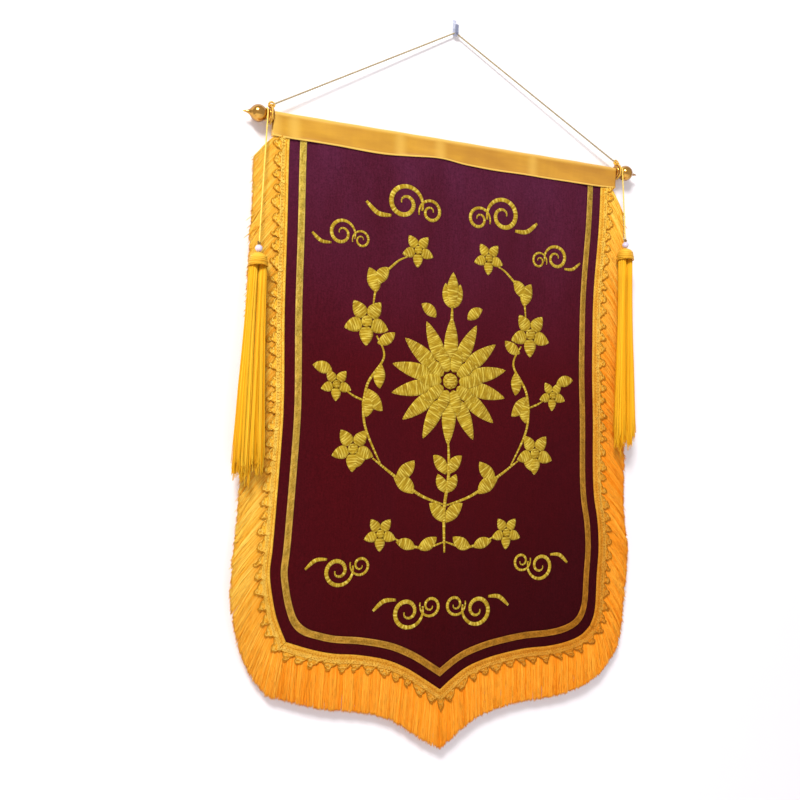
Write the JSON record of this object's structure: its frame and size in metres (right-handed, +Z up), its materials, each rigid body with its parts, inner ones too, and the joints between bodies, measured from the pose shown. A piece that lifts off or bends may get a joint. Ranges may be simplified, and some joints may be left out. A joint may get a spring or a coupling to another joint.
{
  "type": "silk honor pennant with its hanging rod, cord and wall hook",
  "caption": "Velvet banner with a pointed foot, gold braid and fringe, hung in a satin heading from a rod with tassels, on a cord over a small wall hook.",
  "frame": {"origin": "on the back face of the wall hook, where it sits on the wall, at the hook's middle", "axes": "+Z up, +Y into the wall, +X to the right as seen from the front; the pennant hangs on the -Y side"},
  "size_m": [0.7344, 0.0535, 1.2161],
  "materials": {
    "velvet": "deep maroon short-pile velvet",
    "satin": "golden yellow satin",
    "ribbon": "woven ribbon of gold metallic thread",
    "fringe": "orange-yellow rayon braid and fringe",
    "rod": "plain turned wooden rod, hidden in the heading",
    "finial": "mirror-bright gold plating",
    "tassel": "bright yellow rayon threads",
    "bead": "pearl white",
    "tassel_cord": "yellow braided cord",
    "hanging_cord": "tan and gold twisted cord",
    "hook": "milky translucent plastic"
  },
  "bodies": {
    "root": {"velvet_panel": "velvet", "satin_heading": "satin", "gold_ribbon": "ribbon", "fringe_left": "fringe", "fringe_foot": "fringe", "fringe_right": "fringe", "hanging_rod": "rod", "finial_left": "finial", "finial_right": "finial", "tassel_left": "tassel", "tassel_right": "tassel", "bead_left": "bead", "bead_right": "bead", "tassel_cord_left": "tassel_cord", "tassel_cord_right": "tassel_cord", "cord_loop_left": "hanging_cord", "cord_loop_right": "hanging_cord", "hanging_cord": "hanging_cord", "wall_hook": "hook"}
  },
  "joints": []
}
